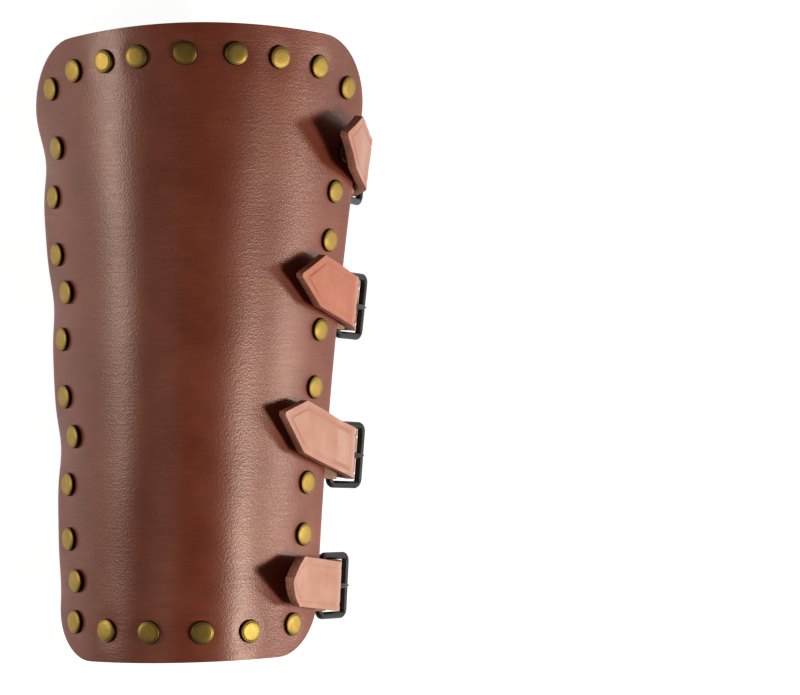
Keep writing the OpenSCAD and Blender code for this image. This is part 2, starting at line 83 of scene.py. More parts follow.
# %% [markdown]
# ## Helpers for materials
# Every finish below is a small node tree. One function writes a colour from its hex value, and one
# adds a node with its settings and its links, so each finish stays a short list of steps.

# %% Material helpers


def colour(hex_value):
    """A hex sRGB colour as the linear colour that Blender works in."""
    channels = [int(hex_value[i : i + 2], 16) / 255 for i in (1, 3, 5)]
    linear = [c / 12.92 if c <= 0.04045 else ((c + 0.055) / 1.055) ** 2.4 for c in channels]
    return (*linear, 1.0)


def add(tree, kind, inputs=None, stops=None, **settings):
    """Adds a node: settings are its properties, and inputs are values or the sockets to link."""
    made = tree.nodes.new("ShaderNode" + kind)
    for name, value in settings.items():
        setattr(made, name, value)
    for name, value in (inputs or {}).items():
        if isinstance(value, bpy.types.NodeSocket):
            tree.links.new(value, made.inputs[name])
        else:
            made.inputs[name].default_value = value
    if stops:
        ramp = made.color_ramp
        ramp.elements[0].position, ramp.elements[0].color = stops[0]
        ramp.elements[1].position, ramp.elements[1].color = stops[-1]
        for position, value in stops[1:-1]:
            ramp.elements.new(position).color = value
    return made


def material(name):
    """A new material with only its output node, and its tree."""
    made = bpy.data.materials.new(name)
    made.use_nodes = True
    made.node_tree.nodes.clear()
    return made, made.node_tree


def finish_material(tree, shader):
    add(tree, "OutputMaterial", {"Surface": shader.outputs[0]})


# %% [markdown]
# ## Leather finishes
# The body is oak-bark bridle leather, dyed mahogany and waxed. Wax gives a satin sheen, and bending
# the damp hide over a form leaves fine wrinkles that run across the arm. The straps are undyed
# vegetable tan, which is warm and pale. They lie HIDE_STEP mm apart on one hide, and the first two
# come from a redder part of it. Where leather is cut, its edge is dark and fibrous, and its back is a
# rough suede. The patterns follow the sheet, so they read the UV map, which is written in metres when
# each sheet is made.

# %% Body leather
WRINKLE_LENGTH = 14 * MM
WRINKLE_SPACING = 1.1 * MM
PORE_SPACING = 0.8 * MM
MOTTLE_SIZE = 30 * MM

body_leather, tree = material("waxed_bridle_leather")
hide = add(tree, "UVMap", uv_map="hide").outputs[0]
stretched = add(tree, "Mapping", {"Vector": hide, "Scale": (1 / WRINKLE_LENGTH, 1 / WRINKLE_SPACING, 1)})
wrinkles = add(tree, "TexNoise", {"Vector": stretched.outputs[0], "Scale": 1.0, "Detail": 4.0,
                                  "Roughness": 0.6, "Distortion": 0.6})
pores = add(tree, "TexVoronoi", {"Vector": hide, "Scale": 1 / PORE_SPACING})
mottle = add(tree, "TexNoise", {"Vector": hide, "Scale": 1 / MOTTLE_SIZE, "Detail": 5.0, "Roughness": 0.55})
dye = add(tree, "ValToRGB", {"Fac": mottle.outputs["Fac"]},
          stops=[(0.32, colour("#7A3522")), (0.5, colour("#873F2A")), (0.7, colour("#924A33"))])
tone = add(tree, "MapRange", {"Value": wrinkles.outputs["Fac"], "From Min": 0.3, "From Max": 0.7,
                              "To Min": 0.86, "To Max": 1.1})
toned = add(tree, "VectorMath", {0: dye.outputs[0], "Scale": tone.outputs[0]}, operation="SCALE")
polish = add(tree, "MapRange", {"Value": wrinkles.outputs["Fac"], "To Min": 0.4, "To Max": 0.28})
grain = add(tree, "Math", {0: wrinkles.outputs["Fac"], 1: pores.outputs["Distance"]}, operation="ADD")
relief = add(tree, "Bump", {"Height": grain.outputs[0], "Strength": 0.3, "Distance": 0.15 * MM})
surface = add(tree, "BsdfPrincipled", {
    "Base Color": toned.outputs[0], "Roughness": polish.outputs[0], "Normal": relief.outputs[0],
    "Specular IOR Level": 0.62, "Specular Tint": colour("#FFE2CE")})
finish_material(tree, surface)

# %% Strap leather
STREAK_LENGTH = 25 * MM
STREAK_WIDTH = 1.5 * MM
STRAP_PORE_SPACING = 0.7 * MM
STRAP_MOTTLES_PER_METRE = 90
HIDE_STEP = 400
CUT_TINTS = ("#F6E0CC", "#F6C8A6", "#FFFFFF", "#FFFFFF")

strap_leather, tree = material("vegetable_tanned_leather")
hide = add(tree, "UVMap", uv_map="hide").outputs[0]
stretched = add(tree, "Mapping", {"Vector": hide, "Scale": (1 / STREAK_WIDTH, 1 / STREAK_LENGTH, 1)})
streaks = add(tree, "TexNoise", {"Vector": stretched.outputs[0], "Scale": 1.0, "Detail": 3.0})
pores = add(tree, "TexVoronoi", {"Vector": hide, "Scale": 1 / STRAP_PORE_SPACING})
mottle = add(tree, "TexNoise", {"Vector": hide, "Scale": STRAP_MOTTLES_PER_METRE, "Detail": 4.0})
tan = add(tree, "ValToRGB", {"Fac": mottle.outputs["Fac"]},
          stops=[(0.3, colour("#C98565")), (0.55, colour("#D39275")), (0.8, colour("#DCA187"))])
along_hide = add(tree, "SeparateXYZ", {"Vector": hide}).outputs["Y"]
which = add(tree, "Math", {0: along_hide, 1: 1 / (4 * HIDE_STEP * MM)}, operation="MULTIPLY")
cut_tint = add(tree, "ValToRGB", {"Fac": which.outputs[0]},
               stops=[(max(0, k / 4 - 0.05), colour(tint)) for k, tint in enumerate(CUT_TINTS)])
cut_tint.color_ramp.interpolation = "CONSTANT"
tinted = add(tree, "VectorMath", {0: tan.outputs[0], 1: cut_tint.outputs[0]}, operation="MULTIPLY")
grain = add(tree, "Math", {0: streaks.outputs["Fac"], 1: pores.outputs["Distance"]}, operation="ADD")
relief = add(tree, "Bump", {"Height": grain.outputs[0], "Strength": 0.25, "Distance": 0.2 * MM})
surface = add(tree, "BsdfPrincipled", {
    "Base Color": tinted.outputs[0], "Roughness": 0.34, "Normal": relief.outputs[0],
    "Specular IOR Level": 0.55})
finish_material(tree, surface)

# %% Cut edges and backs
FIBRE_LENGTH = 0.8 * MM


def fibrous(name, low, high, scale, rough):
    """Raw leather: fibres in two tones with a rough relief."""
    made, tree = material(name)
    place = add(tree, "TexCoord").outputs["Object"]
    fibres = add(tree, "TexNoise", {"Vector": place, "Scale": scale, "Detail": 6.0, "Roughness": 0.7})
    tone = add(tree, "ValToRGB", {"Fac": fibres.outputs["Fac"]},
               stops=[(0.3, colour(low)), (0.7, colour(high))])
    relief = add(tree, "Bump", {"Height": fibres.outputs["Fac"], "Strength": 0.7, "Distance": 0.4 * MM})
    surface = add(tree, "BsdfPrincipled", {
        "Base Color": tone.outputs[0], "Roughness": rough, "Normal": relief.outputs[0]})
    finish_material(tree, surface)
    return made


body_edge = fibrous("burnished_edge", "#3A1710", "#5E2A1C", 1 / FIBRE_LENGTH, 0.5)
body_back = fibrous("body_flesh_side", "#5B3A2A", "#7A523C", 1 / FIBRE_LENGTH, 0.9)
strap_edge = fibrous("raw_cut_edge", "#93482F", "#D9977A", 1 / FIBRE_LENGTH, 0.85)
strap_back = fibrous("strap_flesh_side", "#A8765A", "#C69A7C", 1 / FIBRE_LENGTH, 0.95)
print("leather finishes:", body_leather.name, strap_leather.name)

# %% [markdown]
# ## Metal finishes
# The rivets are antiqued brass: the bright metal is darkened and then rubbed back, so the face shines, while
# patina stays brown in the groove. The outer rim, where the cap meets the leather, is painted dark as shade.
# One vertex attribute marks both. The buckles are black-painted steel wire, with the paint worn grey where
# they rub.

# %% Metals
CLOUDS_PER_METRE = 350
WEAR_PER_METRE = 220

antique_brass, tree = material("antiqued_brass")
place = add(tree, "TexCoord").outputs["Object"]
cloud = add(tree, "TexNoise", {"Vector": place, "Scale": CLOUDS_PER_METRE, "Detail": 4.0})
# Painted shade: this attribute darkens the outer rim of each cap as if it were shaded where it meets the
# leather, besides the patina in the groove.
rim = add(tree, "Attribute", attribute_name="rim").outputs["Fac"]
patina_and_shade_amount = add(tree, "Math", {0: cloud.outputs["Fac"], 1: 0.35, 2: rim}, operation="MULTIPLY_ADD")
tone = add(tree, "ValToRGB", {"Fac": patina_and_shade_amount.outputs[0]},
           stops=[(0.1, colour("#A2833D")), (0.3, colour("#8B7030")), (0.6, colour("#5F4822")),
                  (1.0, colour("#2E1B0D"))])
rubbed = add(tree, "MapRange", {"Value": patina_and_shade_amount.outputs[0], "To Min": 0.4, "To Max": 0.65})
relief = add(tree, "Bump", {"Height": cloud.outputs["Fac"], "Strength": 0.35, "Distance": 0.15 * MM})
surface = add(tree, "BsdfPrincipled", {
    "Base Color": tone.outputs[0], "Metallic": 0.85, "Roughness": rubbed.outputs[0],
    "Normal": relief.outputs[0]})
finish_material(tree, surface)

black_paint, tree = material("black_painted_steel")
place = add(tree, "TexCoord").outputs["Object"]
wear = add(tree, "TexNoise", {"Vector": place, "Scale": WEAR_PER_METRE, "Detail": 6.0, "Roughness": 0.7})
tone = add(tree, "ValToRGB", {"Fac": wear.outputs["Fac"]},
           stops=[(0.45, colour("#0F120E")), (0.66, colour("#1F231E")), (0.8, colour("#565B57"))])
relief = add(tree, "Bump", {"Height": wear.outputs["Fac"], "Strength": 0.3, "Distance": 0.15 * MM})
surface = add(tree, "BsdfPrincipled", {
    "Base Color": tone.outputs[0], "Roughness": 0.42, "Normal": relief.outputs[0],
    "Specular IOR Level": 0.3})
finish_material(tree, surface)
print("metal finishes:", antique_brass.name, black_paint.name)

# %% [markdown]
# ## The form of the shell
# The same named sizes as in the part's source give the outer face of the sheet. A place on it has two
# shares: q runs from -1 at the left edge to 1 at the right, and v from 0 at the wrist to 1 at the
# elbow. Lengths in these cells are in millimetres, and turn into metres when a vertex is placed.

# %% Shell form
SHELL_LENGTH, ELBOW_WIDTH, WRIST_WIDTH, WAIST_IN = 252, 138.8, 103.8, 3.6
ELBOW_RISE, WRIST_RISE, FULLNESS, EDGE_HEIGHT = 50, 35, 0.2, 38
LEAN, SHELL_T, ELBOW_BOW, END_TILT = 5.5, 3.2, 6, 1.2
ELBOW_CORNER, WRIST_CORNER, CORNER_PLAN = 30, 23, 0.62
STRAP_SPACING, STRAP_ROW_MIDDLE = 0.2286, 0.4643
STRAP_SLANT = (6.4, 3.6, 6.8, 3.0)
EDGE_PULL, PULL_SPAN, PULL_FROM, PULL_BELOW = (2.4, 1.5, 1.8, 0.8), 12, 0.7, 4
STRAPS = range(4)
MIDDLE_ROWS, CORNER_ROWS = 150, 14


def lerp(a, b, t):
    return a + (b - a) * t


def cosd(angle):
    return math.cos(math.radians(angle))


def sind(angle):
    return math.sin(math.radians(angle))


def half_width(v):
    return lerp(WRIST_WIDTH, ELBOW_WIDTH, v) / 2 - WAIST_IN * 4 * v * (1 - v)


def y_on(q, v):
    return END_TILT * q + lerp(-SHELL_LENGTH / 2, SHELL_LENGTH / 2 - ELBOW_BOW * q * q, v)


def v_on(q, y):
    return (y - END_TILT * q + SHELL_LENGTH / 2) / (SHELL_LENGTH - ELBOW_BOW * q * q)


def left_y(i):
    return (STRAP_ROW_MIDDLE - 0.5 + STRAP_SPACING * (1.5 - i)) * SHELL_LENGTH


def right_y(i):
    return left_y(i) - STRAP_SLANT[i]


def pull(q, y):
    if q > -PULL_FROM:
        return 0
    gathered = 0
    for i in STRAPS:
        gathered += EDGE_PULL[i] * math.exp(-(((y - left_y(i) + PULL_BELOW) / PULL_SPAN) ** 2))
    return ((-q - PULL_FROM) / (1 - PULL_FROM)) ** 2 * gathered


def off_centre(q, v):
    """A place on the outer face, before the origin is put under the middle of the box."""
    fall = (q * q + FULLNESS * q**4 / 2) / (1 + FULLNESS / 2)
    rise = lerp(WRIST_RISE, ELBOW_RISE, v)
    x = LEAN * (v - 0.5) + q * half_width(v) + pull(q, y_on(q, v))
    return Vector((x, y_on(q, v), EDGE_HEIGHT + rise * (1 - fall)))


corner_angles = [math.radians(90 * k / CORNER_ROWS) for k in range(CORNER_ROWS + 1)]
wrist_rows = []
for angle in reversed(corner_angles):
    v = WRIST_CORNER / SHELL_LENGTH * (1 - math.sin(angle))
    wrist_rows.append((v, 1 - WRIST_CORNER * CORNER_PLAN / half_width(v) * (1 - math.cos(angle))))
elbow_rows = []
for angle in corner_angles:
    v = 1 - ELBOW_CORNER / SHELL_LENGTH * (1 - math.sin(angle))
    elbow_rows.append((v, 1 - ELBOW_CORNER * CORNER_PLAN / half_width(v) * (1 - math.cos(angle))))
first, last = wrist_rows[-1][0], elbow_rows[0][0]
middle = [(lerp(first, last, k / MIDDLE_ROWS), 1) for k in range(1, MIDDLE_ROWS)]
shell_rows = wrist_rows + middle + elbow_rows
left_most = min(off_centre(-edge, v).x for v, edge in shell_rows)
CENTRE_X = left_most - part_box("shell")[0].x / MM


def skin(q, v):
    return off_centre(q, v) - Vector((CENTRE_X, 0, 0))


def across(q, v):
    return (skin(q + 0.01, v) - skin(q - 0.01, v)).normalized()


def along(q, v):
    return (skin(q, v + 0.005) - skin(q, v - 0.005)).normalized()


def outward(q, v):
    return across(q, v).cross(along(q, v)).normalized()


print("centre_x in the part's source should be near", round(CENTRE_X, 3))

# %% [markdown]
# ## Where the rivets are
# The caps are small domes, so the thin direction of each is its axis. The CAD caps are split into
# loose islands, and each island gives a place and an axis. Measuring them keeps the visual rivets on
# the CAD ones, even after the part's source changes.

# %% Rivet places
CAP_NODES = ("elbow_row_caps", "wrist_row_caps", "left_row_caps", "right_row_caps",
             "strap_rivet_caps", "loop_rivet_caps")


def islands(node):
    """The vertex positions of each loose piece of a CAD node, in metres."""
    bm = bmesh.new()
    bm.from_mesh(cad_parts[node].data)
    bmesh.ops.remove_doubles(bm, verts=bm.verts, dist=0.001 * MM)
    left = set(bm.verts)
    found = []
    while left:
        queue, group = [left.pop()], []
        while queue:
            vert = queue.pop()
            group.append(vert.co.copy())
            for edge in vert.link_edges:
                other = edge.other_vert(vert)
                if other in left:
                    left.remove(other)
                    queue.append(other)
        found.append(group)
    bm.free()
    return found


def seat_of(points):
    """The middle of a cap's underside and its axis, which is the direction in which it is thin."""
    cloud = numpy.array(points)
    middle = Vector(cloud.mean(axis=0))
    axis = Vector(numpy.linalg.svd(cloud - cloud.mean(axis=0))[2][2])
    axis = axis if axis.z > 0 else -axis
    low = min((p - middle).dot(axis) for p in points)
    return middle + axis * low, axis


rivets = {node: [seat_of(points) for points in islands(node)] for node in CAP_NODES}
print("rivets:", {node: len(seats) for node, seats in rivets.items()})

# %% [markdown]
# ## Sheets of leather
# Shell and straps are made the way the real ones are: a flat blank, cut to its outline, then bent. A
# grid stands for the grain side of the blank, every vertex of it is carried to its place, and the UV
# map remembers where it was on the flat hide. Solidify gives the thickness with separate finishes for
# grain, back and cut edge, and Bevel takes the sharpness off the cut.

# %% Sheet maker


def place_grid(columns, rows, carry):
    """A grid whose vertex at (column, row) goes where carry says: a place and a spot on the hide."""
    bm = bmesh.new()
    bmesh.ops.create_grid(bm, x_segments=columns, y_segments=rows, size=1)
    layer = bm.loops.layers.uv.new("hide")
    spots = {}
    for vert in bm.verts:
        column = round((vert.co.x + 1) / 2 * columns)
        row = round((vert.co.y + 1) / 2 * rows)
        place, spots[vert] = carry(column, row)
        vert.co = place * MM
    for face in bm.faces:
        for loop in face.loops:
            spot = spots[loop.vert]
            loop[layer].uv = (spot[0] * MM, spot[1] * MM)
    return bm


def leather(name, bm, thickness, finishes, rounding, body=None):
    """Turns a bent blank into a solid piece of leather."""
    mesh = bpy.data.meshes.new(name)
    bmesh.ops.recalc_face_normals(bm, faces=bm.faces)
    bm.to_mesh(mesh)
    bm.free()
    piece = bpy.data.objects.new(name, mesh)
    bpy.context.scene.collection.objects.link(piece)
    for finish in finishes:
        mesh.materials.append(finish)
    thick = piece.modifiers.new("thickness", "SOLIDIFY")
    thick.thickness = thickness * MM
    thick.offset = -1
    thick.use_even_offset = True
    thick.use_quality_normals = True
    thick.material_offset = 2
    thick.material_offset_rim = 1
    bevel = piece.modifiers.new("rounding", "BEVEL")
    bevel.width = rounding * MM
    bevel.segments = 2
    bevel.limit_method = "ANGLE"
    bevel.angle_limit = math.radians(50)
    mesh.shade_smooth()
    if body:
        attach(piece, body)
    return piece


def settle(piece):
    """Replaces a piece's mesh by what its modifiers make of it."""
    graph = bpy.context.evaluated_depsgraph_get()
    mesh = bpy.data.meshes.new_from_object(piece.evaluated_get(graph))
    piece.modifiers.clear()
    piece.data = mesh
    return piece


# %% [markdown]
# ## The shell
# Rows of the grid are closer in the rounded corners, and columns are even across the arm. Leather
# gives way a little under a rivet and is never quite even, so the sheet is pressed in round each cap
# and carries a slow wave of a third of a millimetre.

# %% Shell
COLUMNS = 110
PRESS_DEPTH, PRESS_R = 0.3, 6.2
WAVE, WAVE_LENGTH = 0.35, 38
SHELL_ROUNDING = 0.6
FLAT_STEPS = 50

seats = [seat for group in rivets.values() for seat in group]
flat_half = [0.0]
for k in range(FLAT_STEPS):
    stride = (skin((k + 1) / FLAT_STEPS, 0.5) - skin(k / FLAT_STEPS, 0.5)).length
    flat_half.append(flat_half[-1] + stride)


def on_shell(column, row):
    v, edge = shell_rows[row]
    q = edge * (2 * column / COLUMNS - 1)
    place, out = skin(q, v), outward(q, v)
    sink = 0
    for seat, axis in seats:
        gap = (place - seat / MM).length
        if gap < 3 * PRESS_R:
            sink += PRESS_DEPTH * math.exp(-((gap / PRESS_R) ** 4))
    wave = WAVE * noise.noise(place / WAVE_LENGTH) * (1 - q**4)
    share = abs(q) * FLAT_STEPS
    k = min(int(share), FLAT_STEPS - 1)
    flat_x = math.copysign(lerp(flat_half[k], flat_half[k + 1], share - k), q)
    return place + out * (wave - sink), (flat_x * half_width(v) / half_width(0.5), place.y)


bm = place_grid(COLUMNS, len(shell_rows) - 1, on_shell)
shell = leather("bracer_shell", bm, SHELL_T, (body_leather, body_edge, body_back),
                SHELL_ROUNDING, "bracer")
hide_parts("shell")
print("shell faces:", len(shell.data.polygons))

# %% [markdown]
# ## The path of a strap
# A strap starts riveted inside the left edge, bends round under it, lies flat on the table, rises
# inside the end bar of its buckle, bends over the heel bar and ends in a free point over the flank.
# The path is a chain of lines and arcs with the sizes of the part's source, but it passes closer to
# the end bar, where CLEAR is the room between them. It is then smoothed, because leather has no kinks.

# %% Path tools
STRAP_W, STRAP_T, STRAP_RIVET_IN, STRAP_TAIL = 20, 3.4, 14, 9
TIP_LENGTH, TIP_YAW, TIP_SKEW = (31.7, 37, 37, 35.6), (17.5, 13.2, 15.8, 5.7), (-2.2, -2, 0.8, 0)
TIP_LIFT, TIP_STRAIGHT, TIP_CURL = (24, 8, 3.5, 5), (14, 12, 10, 12), (-14.5, -11, -5, 28)
TIP_TWIST, TIP_POINT = (0, 0, 0, 10), 14.5
HANG, STRAP_RIDE, CREST_AT, CREST_INNER = (18, 5, -5, 4), (1.5, 1.5, 2.6, 2.3), (2.6, 2.8, 7.3, 5.4), 5
BAR_D, BUCKLE_REACH, HEEL_OUT = 3, 18, 8.9
LOOP_T, LOOP_TAIL, LOOP_RIVET_IN = 1.6, 17, 8
SEAT, CLEAR, PIN_PLAY = 0.15, 0.12, 0.05
LEFT_BEND, LEFT_HEADING, FLOOR_BEND = 12, -60, 16
HINGE_S = -1
CREST_R = CREST_INNER + STRAP_T / 2
HEEL_N = -SHELL_T - LOOP_T - 2 * SEAT
END_S = HEEL_OUT + BUCKLE_REACH


def arc_from(start, radius, angle):
    """Points with headings along an arc, to the left for a positive angle."""
    steps = max(2, math.ceil(abs(angle) / 6))
    side = 1 if angle > 0 else -1
    x, z, h = start
    turned = [h + angle * k / steps for k in range(1, steps + 1)]
    return [(x + side * radius * (sind(t) - sind(h)), z - side * radius * (cosd(t) - cosd(h)), t)
            for t in turned]


def line_from(start, length):
    x, z, h = start
    return (x + length * cosd(h), z + length * sind(h), h)


def q_in(side, v, distance):
    return side * (1 - 0.1 * distance / (skin(side, v) - skin(side * 0.9, v)).length)


# %% Frame of a buckle


class Closure:
    """The plane of one buckle: s runs out along the flank, w toward the elbow, n outward."""

    def __init__(self, i):
        self.i = i
        v = v_on(1, right_y(i))
        self.edge = skin(1, v)
        self.w = along(1, v)
        chord = self.edge - skin(q_in(1, v, LOOP_TAIL), v)
        self.flank_n = chord.cross(self.w).normalized()
        self.flank_s = self.w.cross(self.flank_n)
        self.n = self.flank_n * cosd(HANG[i]) + self.flank_s * sind(HANG[i])
        self.s = self.flank_s * cosd(HANG[i]) - self.flank_n * sind(HANG[i])
        self.ride = STRAP_RIDE[i] + STRAP_T / 2
        run, drop = END_S - CREST_AT[i], HEEL_N - self.ride + CREST_R
        room = CREST_R + STRAP_T / 2 + BAR_D / 2 + CLEAR
        self.dive = math.degrees(math.asin(room / math.hypot(run, drop)) - math.atan2(drop, run))
        self.crest = arc_from((CREST_AT[i], self.ride, 0), CREST_R, -self.dive)
        self.end = line_from(self.crest[-1], run * cosd(self.dive) - drop * sind(self.dive))
        end = self.at(self.end[0], 0, self.end[1])
        self.end_x, self.end_y = end.x, end.y
        down = self.s * cosd(self.end[2]) + self.n * sind(self.end[2])
        heading = math.degrees(math.atan2(down.z, down.x))
        radius = (end.z - STRAP_T / 2) / (1 + cosd(heading))
        self.right = arc_from((end.x, end.z, heading), radius, -180 - heading)
        self.flat_x = self.right[-1][0]
        self.left_x = skin(-1, v_on(-1, left_y(i))).x

    def at(self, s, w, n):
        return self.edge + s * self.s + w * self.w + n * self.n

    def on_flank(self, s, w, n):
        return self.edge + s * self.flank_s + w * self.w + n * self.flank_n

    def sway(self, s):
        s0, s1 = self.crest[-1][0], self.end[0]
        share = min(1, max(0, (s1 - s) / (s1 - s0)))
        return math.tan(math.radians(TIP_YAW[self.i])) * ((s1 - s0) * share**3 / 3 + max(0, s0 - s))

    def slant_y(self, x):
        return lerp(left_y(self.i), self.end_y, (x - self.left_x) / (self.end_x - self.left_x))


closures = [Closure(i) for i in STRAPS]
print("dive of each strap:", [round(c.dive, 1) for c in closures])

# %% Strap path


def strap_path(i):
    """Middle of the strap with the direction and share of its width, from its tail to its point."""
    c = closures[i]
    v = v_on(-1, left_y(i))
    under = SHELL_T + SEAT + STRAP_T / 2
    left_w = along(-1, v)
    path = []
    for k in range(6):
        q = q_in(-1, v, (STRAP_RIVET_IN + STRAP_TAIL) * (1 - k / 5))
        path.append((skin(q, v) - under * outward(q, v), left_w))
    a, t = path[-1][0], -across(-1, v)
    heading = math.degrees(math.atan2(t.z, t.x))
    bend = arc_from((a.x, a.z, heading), LEFT_BEND, LEFT_HEADING - heading)
    drop = bend[-1][1] - STRAP_T / 2 - FLOOR_BEND * (1 - cosd(LEFT_HEADING))
    slope = line_from(bend[-1], drop / -sind(LEFT_HEADING))
    left = bend + [slope] + arc_from(slope, FLOOR_BEND, -LEFT_HEADING)
    for group, w in ((left, left_w), (c.right[::-1], c.w)):
        top = max(z for x, z, h in group)
        for x, z, h in group:
            path.append((Vector((x, c.slant_y(x), z)), Vector((w.x * z / top, w.y, 0)).normalized()))
    for s, n, h in [c.end] + c.crest[::-1] + [(CREST_AT[i], c.ride, 0), (HINGE_S, c.ride, 0)]:
        path.append((c.at(s, c.sway(s), n), c.w))
    hinge = (0, 0, TIP_LIFT[i] - HANG[i])
    straight = line_from(hinge, TIP_STRAIGHT[i])
    rest = TIP_LENGTH[i] - TIP_STRAIGHT[i]
    for x, z, h in [straight] + arc_from(straight, rest / math.radians(abs(TIP_CURL[i])), TIP_CURL[i]):
        w = c.w / cosd(TIP_YAW[i])
        turn = math.radians(TIP_TWIST[i]) * (x / TIP_LENGTH[i]) ** 2
        up = (c.n * cosd(h) + c.s * sind(h)).normalized()
        way = c.sway(HINGE_S) + x * math.tan(math.radians(TIP_YAW[i]))
        path.append((c.at(HINGE_S - x, way, c.ride + z), w * math.cos(turn) + up * w.length * math.sin(turn)))
    return path


def even(path, step):
    """The path as points a step apart, with the directions of its width between."""
    places, widths = [path[0][0]], [path[0][1]]
    carried = 0.0
    for (a, wa), (b, wb) in zip(path, path[1:]):
        length = (b - a).length
        while carried + step <= length + 1e-6:
            carried += step
            places.append(a.lerp(b, carried / length))
            widths.append(wa.lerp(wb, carried / length))
        carried -= length
    if (path[-1][0] - places[-1]).length > step * 0.3:
        places.append(path[-1][0].copy())
        widths.append(path[-1][1].copy())
    return places, widths


def smooth(points, rounds):
    """Averages each point with its neighbours, with both ends kept."""
    for _ in range(rounds):
        inner = [(a + 2 * b + c) / 4 for a, b, c in zip(points, points[1:], points[2:])]
        points = [points[0]] + inner + [points[-1]]
    return points


class Ribbon:
    """A smooth path with its own directions, read by length."""

    def __init__(self, path, step, rounds):
        places, widths = even(path, step)
        self.places, widths = smooth(places, rounds), smooth(widths, rounds)
        last = len(self.places) - 1
        self.frames = []
        for k, place in enumerate(self.places):
            t = (self.places[min(k + 1, last)] - self.places[max(k - 1, 0)]).normalized()
            self.frames.append((widths[k], widths[k].cross(t).normalized()))
        self.lengths = [0.0]
        for a, b in zip(self.places, self.places[1:]):
            self.lengths.append(self.lengths[-1] + (b - a).length)
        self.total = self.lengths[-1]

    def at(self, u, w, n):
        k = max(j for j, reach in enumerate(self.lengths[:-1]) if reach <= max(u, 0) + 1e-9)
        t = (u - self.lengths[k]) / (self.lengths[k + 1] - self.lengths[k])
        wa, na = self.frames[k]
        wb, nb = self.frames[k + 1]
        middle = self.places[k].lerp(self.places[k + 1], t)
        return middle + w * wa.lerp(wb, t) + n * na.lerp(nb, t).normalized()


# %% [markdown]
# ## The straps
# Each strap is one piece, from its riveted tail to its pointed end. The maker runs a heated creaser along the
# edges, which leaves a line 2.6 mm in, so the grid is fine enough across to show it.
# The strap has three spare holes, and a slot that lets the tongue lift as far as its joint and that of
# the frame allow.

# %% Straps
ACROSS = 48
BAND_STEP, TIP_STEP, TIP_ZONE = 2.0, 0.5, 60
CREASE_IN, CREASE_DEPTH, CREASE_WIDTH = 2.6, 0.42, 0.42
NOSE, STRAP_ROUNDING = 0.7, 0.35
RAGGED, SWELL, SWELL_LENGTH = 0.12, 0.18, 9
PATH_STEP, PATH_ROUNDS = 1.0, 2
HOLE_D, HOLE_IN, HOLE_PITCH = 4, 3, 12.7
TONGUE_D, TONGUE_LIFT, TONGUE_RISE = 2.2, 12, 0.1
SLOT_STEP, SLOT_PLAY = 3, 0.35


def width_at(u, total):
    """Half the width of the strap at a length, and how far along its point it is, from 0 to 1."""
    share = min(1, max(0, 1 - (total - u) / TIP_POINT))
    return lerp(STRAP_W / 2, NOSE, share), share


def edge_gap(u, w, total, skew):
    """How far a spot lies inside the cut outline."""
    half, past = STRAP_W / 2, u - total + TIP_POINT
    upper, lower = skew + NOSE - half, skew - NOSE + half
    return min(half - abs(w),
               (past * upper - (w - half) * TIP_POINT) / math.hypot(TIP_POINT, upper),
               ((w + half) * TIP_POINT - past * lower) / math.hypot(TIP_POINT, lower))


def make_strap(i):
    ribbon = Ribbon(strap_path(i), PATH_STEP, PATH_ROUNDS)
    total = ribbon.total
    band = int((total - TIP_ZONE) / BAND_STEP)
    tip = int(TIP_ZONE / TIP_STEP)
    reaches = [k * (total - TIP_ZONE) / band for k in range(band)]
    reaches += [total - TIP_ZONE + k * TIP_ZONE / tip for k in range(tip + 1)]

    def on_strap(column, row):
        u = reaches[row]
        half, share = width_at(u, total)
        w = half * (2 * column / ACROSS - 1) + TIP_SKEW[i] * share
        gap = edge_gap(u, w, total, TIP_SKEW[i])
        line = CREASE_DEPTH * math.exp(-(((gap - CREASE_IN) / CREASE_WIDTH) ** 2))
        rag = RAGGED * noise.noise(Vector((u * 1.3, w * 1.3, i * 7.0))) * math.exp(-gap)
        swell = SWELL * noise.noise(Vector((u / SWELL_LENGTH, w / SWELL_LENGTH, 3 + i)))
        return ribbon.at(u, w + rag, STRAP_T / 2 - line + swell), (w, u + HIDE_STEP * i)

    bm = place_grid(ACROSS, len(reaches) - 1, on_strap)
    piece = leather(f"strap_{i + 1}_leather", bm, STRAP_T, (strap_leather, strap_edge, strap_back),
                    STRAP_ROUNDING)
    return piece, ribbon


def rod(name, start, end, radius, finish):
    """A plain cylinder between two points, used to punch holes."""
    bm = bmesh.new()
    way = end - start
    turn = Vector((0, 0, 1)).rotation_difference(way).to_matrix().to_4x4()
    bmesh.ops.create_cone(bm, segments=28, radius1=radius * MM, radius2=radius * MM, depth=way.length * MM,
                          cap_ends=True, matrix=Matrix.Translation((start + end) / 2 * MM) @ turn)
    mesh = bpy.data.meshes.new(name)
    bm.to_mesh(mesh)
    bm.free()
    mesh.materials.append(finish)
    made = bpy.data.objects.new(name, mesh)
    bpy.context.scene.collection.objects.link(made)
    return made


def punch(piece, rods):
    """Cuts the rods out of a piece and takes them away again."""
    for cutter in rods:
        cut = piece.modifiers.new("hole", "BOOLEAN")
        cut.object = cutter
        cut.solver = "EXACT"
        cut.material_mode = "TRANSFER"
    settle(piece)
    for cutter in rods:
        bpy.data.objects.remove(cutter)


